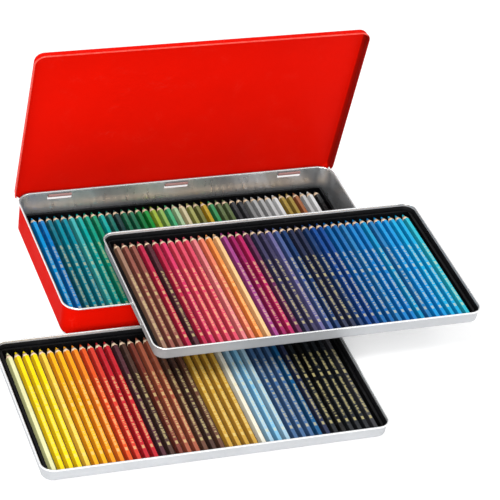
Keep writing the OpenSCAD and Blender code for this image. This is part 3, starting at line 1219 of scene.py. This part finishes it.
@dataclass
class Lid:
    """The lid, lacquered on both faces, and its three curled tabs."""

    hinge: Point = (0.0, 95.65 * MM, 30 * MM)
    opened: float = 78.0
    hem_top: float = 28.8 * MM
    shaded_side: float = 3 * MM
    tabs: tuple[str, ...] = ("lid_tab_left", "lid_tab_centre", "lid_tab_right")

    def build(self, shelf: Shelf) -> None:
        """Dresses the lid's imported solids.

        Args:
            shelf: Where the finishes are taken from.
        """
        finish = HemmedLacquer(
            "lid_lacquer",
            hinge=self.hinge,
            opened=self.opened,
            hem_top=self.hem_top,
            shaded_x=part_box("lid_shell")[1][0] - self.shaded_side,
        )
        shelf.paint_node("lid_shell", finish)
        for tab in self.tabs:
            # The tabs' lacquer is a pale greyish pink, paler and greyer than the lid's.
            shelf.paint_node(tab, Lacquer("pale_tab_lacquer", colour="A8807C"))


@dataclass
class Tray:
    """A lift-out tray, bare outside and painted black inside as painted shade up to a bare strip below its rim,
    and its liner.
    """

    prefix: str
    corner: float = 10.4 * MM
    rim: float = 0.8 * MM
    lean: float = 1.0 * MM
    bare: float = 1.3 * MM

    def build(self, shelf: Shelf) -> None:
        """Dresses the tray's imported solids.

        Args:
            shelf: Where the finishes are taken from.
        """
        shell = PressedShell(f"{self.prefix}_shell", self.corner, self.rim, self.lean)
        finish = LacqueredTin(
            f"{self.prefix}_tinplate",
            shell,
            face=Face.INNER,
            bare=self.bare,
            relief=1.0,
            ior=1.5,
            # Painted shade: the inner face is coloured near black, standing in for the shade inside the tray.
            lacquer=Lacquer(
                "painted_shade_inside", colour="141416", gloss=0.3, shine=0.5, thrown="202022", scratched="8A8A8C"
            ),
            tinplate=Tinplate(rim_above=shell.under_rim),
        )
        shelf.paint_node(shell.node, finish)
        shelf.paint_node(f"{self.prefix}_liner", MouldedPlastic("moulded_plastic"))


# ---- studio and camera ------------------------------------------------------


@dataclass(frozen=True)
class Lamp:
    """One soft round lamp, in metres and watts."""

    name: str
    place: Point
    size: float
    watts: float

    def hang(self, aim: Point) -> None:
        """Hangs the lamp.

        Args:
            aim: What it is turned to.
        """
        light = bpy.data.lights.new(self.name, "AREA")
        light.shape, light.size, light.energy = "DISK", self.size, self.watts
        lamp = bpy.data.objects.new(self.name, light)
        lamp.location = self.place
        lamp.rotation_euler = (Vector(aim) - Vector(self.place)).to_track_quat("-Z", "Y").to_euler()
        bpy.context.scene.collection.objects.link(lamp)


@dataclass
class Studio:
    """A plain pale floor, a soft even sky and three soft lamps turned to the middle of the object."""

    floor_half: float = 4.0
    floor_drop: float = 0.3 * MM
    floor_tone: float = 0.88
    floor_lift: float = 0.32
    sky: float = 0.52
    aim: Point = (0.0, -0.08, 0.05)
    lamps: tuple[Lamp, ...] = (
        Lamp("key_lamp", (-0.6, -2.1, 0.85), 1.3, 31.0),
        Lamp("ceiling_lamp", (-0.75, -0.45, 1.7), 0.9, 19.0),
        Lamp("fill_lamp", (1.3, -0.9, 1.2), 1.2, 6.0),
    )

    def build(self) -> None:
        """Sets up the floor, the world and the lamps."""
        self._floor()
        self._sky()
        for lamp in self.lamps:
            lamp.hang(self.aim)

    @staticmethod
    def _seen(board: Board) -> Socket:
        """One for rays from the camera, mirrors and glass, nought for the light itself."""
        path = board.add("ShaderNodeLightPath").outputs
        both = board.math("MAXIMUM", path["Is Camera Ray"], path["Is Glossy Ray"])
        return board.math("MAXIMUM", both, path["Is Transmission Ray"])

    def _floor(self) -> None:
        """Lays a pale floor that keeps the object's shadow and is lifted to white where it is seen."""
        half, z = self.floor_half, -self.floor_drop
        mesh = bpy.data.meshes.new("studio_floor")
        corners = [(-half, -half, z), (half, -half, z), (half, half, z), (-half, half, z)]
        mesh.from_pydata(corners, [], [(0, 1, 2, 3)])
        floor = bpy.data.objects.new("studio_floor", mesh)
        bpy.context.scene.collection.objects.link(floor)
        material = bpy.data.materials.new("studio_floor")
        material.use_nodes = True
        nodes = material.node_tree.nodes
        board = Board(material.node_tree)
        nodes.remove(next(n for n in nodes if n.type == "BSDF_PRINCIPLED"))
        out = next(n for n in nodes if n.type == "OUTPUT_MATERIAL")
        matt = board.add("ShaderNodeBsdfDiffuse", {"Color": (*[self.floor_tone] * 3, 1.0)}).outputs[0]
        glow = board.times(self._seen(board), self.floor_lift)
        lift = board.add("ShaderNodeEmission", {"Strength": glow}).outputs[0]
        board.feed(out.inputs["Surface"], board.add("ShaderNodeAddShader", {0: matt, 1: lift}).outputs[0])
        mesh.materials.append(material)

    def _sky(self) -> None:
        """Lights the object evenly from all round, and shows as white."""
        world = bpy.data.worlds.new("studio_sky")
        bpy.context.scene.world = world
        world.use_nodes = True
        board = Board(world.node_tree)
        sky = next(n for n in world.node_tree.nodes if n.type == "BACKGROUND")
        sky.inputs["Color"].default_value = (1.0, 1.0, 1.0, 1.0)
        board.feed(sky.inputs["Strength"], board.span(self._seen(board), 0.0, 1.0, self.sky, 1.0))


@dataclass
class Viewpoint:
    """Where the photograph was taken from, in degrees, metres and pixels of its frame."""

    azimuth: float = -23.28
    elevation: float = 35.17
    roll: float = 7.94
    distance: float = 2.3304
    target: Point = (0.0549, 0.0103, 0.0)
    focal_pixels: float = 2309.5
    frame_pixels: float = 500.0
    sensor_millimetres: float = 36.0
    furthest: float = 50.0

    def place(self) -> None:
        """Puts the camera back from the target and rolls it about its own axis."""
        az, el, roll = (math.radians(v) for v in (self.azimuth, self.elevation, self.roll))
        back = Vector((math.sin(az) * math.cos(el), -math.cos(az) * math.cos(el), math.sin(el)))
        side = Vector((0.0, 0.0, 1.0)).cross(back).normalized()
        up = back.cross(side)
        right = math.cos(roll) * side + math.sin(roll) * up
        top = math.cos(roll) * up - math.sin(roll) * side
        data = bpy.data.cameras.new("photograph")
        data.sensor_width = self.sensor_millimetres
        data.lens = self.focal_pixels / self.frame_pixels * data.sensor_width
        data.clip_end = self.furthest
        camera = bpy.data.objects.new("photograph", data)
        turn = Matrix((right, top, back)).transposed().to_4x4()
        camera.matrix_world = Matrix.Translation(Vector(self.target) + back * self.distance) @ turn
        bpy.context.scene.collection.objects.link(camera)
        bpy.context.scene.camera = camera


def main() -> None:
    logging.basicConfig(level=logging.INFO, format="%(message)s")
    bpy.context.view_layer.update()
    bpy.context.scene.view_settings.view_transform = "Standard"
    Viewpoint().place()
    Studio().build()
    shelf = Shelf()
    TinBase().build(shelf)
    Lid().build(shelf)
    for prefix in ("middle_tray", "front_tray"):
        Tray(prefix).build(shelf)
    for prefix, body, paints in (
        ("base", "tin", BASE_ROW),
        ("middle", "middle_tray", MIDDLE_ROW),
        ("front", "front_tray", FRONT_ROW),
    ):
        PencilLayer(prefix, body, paints).build(shelf)


if __name__ == "__main__":
    main()
